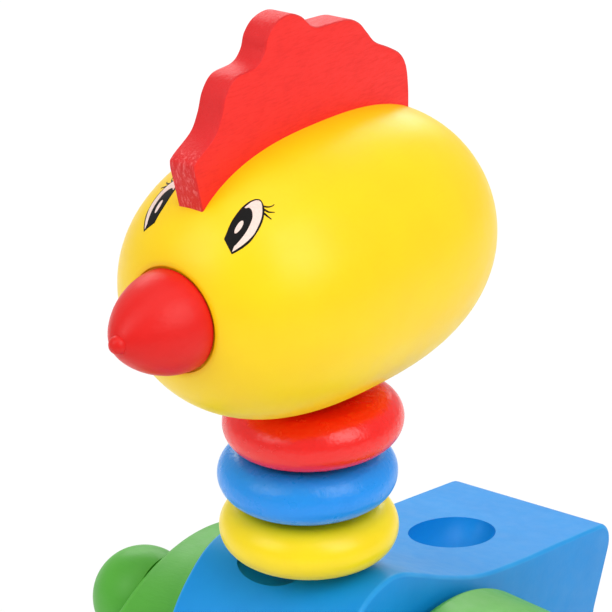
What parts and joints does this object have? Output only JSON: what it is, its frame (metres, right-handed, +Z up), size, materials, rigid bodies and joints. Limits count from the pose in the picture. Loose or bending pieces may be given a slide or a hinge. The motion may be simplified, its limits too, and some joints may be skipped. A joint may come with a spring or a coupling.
{
  "type": "wheeled pull toy",
  "caption": "Wooden chick pull toy: sawn body block on wheels, turned neck rings on a coil spring, egg-shaped nodding head with a beak and a scalloped comb.",
  "frame": {"origin": "centre of the toy's footprint, on the surface that its wheels stand on", "axes": "+Z up; the chick faces -Y; its left side is +X"},
  "size_m": [0.0916, 0.1296, 0.185],
  "materials": {
    "yellow_paint": "gloss yellow paint on turned wood",
    "red_paint": "satin red paint on wood",
    "ring_blue_paint": "gloss mid-blue paint on turned wood",
    "body_blue_paint": "satin blue paint on a sawn board",
    "green_paint": "satin green paint on turned wood",
    "bare_wood": "bare beech dowel",
    "bright_steel": "bright zinc-plated steel"
  },
  "bodies": {
    "chassis": {"body_block": "body_blue_paint", "cord_eye": "bright_steel", "neck_spring": "bright_steel", "lower_spring_peg": "bare_wood"},
    "lower_ring": {"lower_ring": "yellow_paint"},
    "middle_ring": {"middle_ring": "ring_blue_paint"},
    "upper_ring": {"upper_ring": "red_paint"},
    "head": {"head": "yellow_paint", "beak": "red_paint", "comb": "red_paint", "upper_spring_peg": "bare_wood"},
    "front_wheels": {"front_axle": "bare_wood", "left_front_wheel": "green_paint", "left_front_washer": "bright_steel", "left_front_hub_cap": "green_paint", "left_knob": "green_paint", "left_knob_peg": "bare_wood", "right_front_wheel": "green_paint", "right_front_washer": "bright_steel", "right_front_hub_cap": "green_paint", "right_knob": "green_paint", "right_knob_peg": "bare_wood"},
    "rear_wheels": {"rear_axle": "bare_wood", "left_rear_wheel": "green_paint", "left_rear_washer": "bright_steel", "left_rear_hub_cap": "green_paint", "right_rear_wheel": "green_paint", "right_rear_washer": "bright_steel", "right_rear_hub_cap": "green_paint"}
  },
  "joints": [
    {"name": "lower_ring_nod", "type": "hinge", "parent": "chassis", "child": "lower_ring", "pos_m": [0, -0.01867, 0.09008], "axis": [1, 0, 0], "range_deg": [-2.2, 2.2], "stiffness_Nm_per_rad": 1.2, "deforming": ["neck_spring"]},
    {"name": "middle_ring_sway", "type": "hinge", "parent": "lower_ring", "child": "middle_ring", "pos_m": [0, -0.01867, 0.09988], "axis": [0, 1, 0], "range_deg": [-2.2, 2.2], "stiffness_Nm_per_rad": 1.2, "deforming": ["neck_spring"]},
    {"name": "upper_ring_nod", "type": "hinge", "parent": "middle_ring", "child": "upper_ring", "pos_m": [0, -0.01867, 0.10967], "axis": [1, 0, 0], "range_deg": [-2.2, 2.2], "stiffness_Nm_per_rad": 1.2, "deforming": ["neck_spring"]},
    {"name": "head_turn", "type": "hinge", "parent": "upper_ring", "child": "head", "pos_m": [0, -0.01867, 0.1197], "axis": [0, 0, 1], "range_deg": [-30, 30], "stiffness_Nm_per_rad": 0.3, "deforming": ["neck_spring"]},
    {"name": "front_wheels_roll", "type": "hinge", "parent": "chassis", "child": "front_wheels", "pos_m": [0, -0.00867, 0.04], "axis": [1, 0, 0], "continuous": true},
    {"name": "rear_wheels_roll", "type": "hinge", "parent": "chassis", "child": "rear_wheels", "pos_m": [0, 0.04682, 0.018], "axis": [1, 0, 0], "continuous": true}
  ],
  "couplings": [
    {"joint": "upper_ring_nod", "follows": "lower_ring_nod", "ratio": 1}
  ]
}
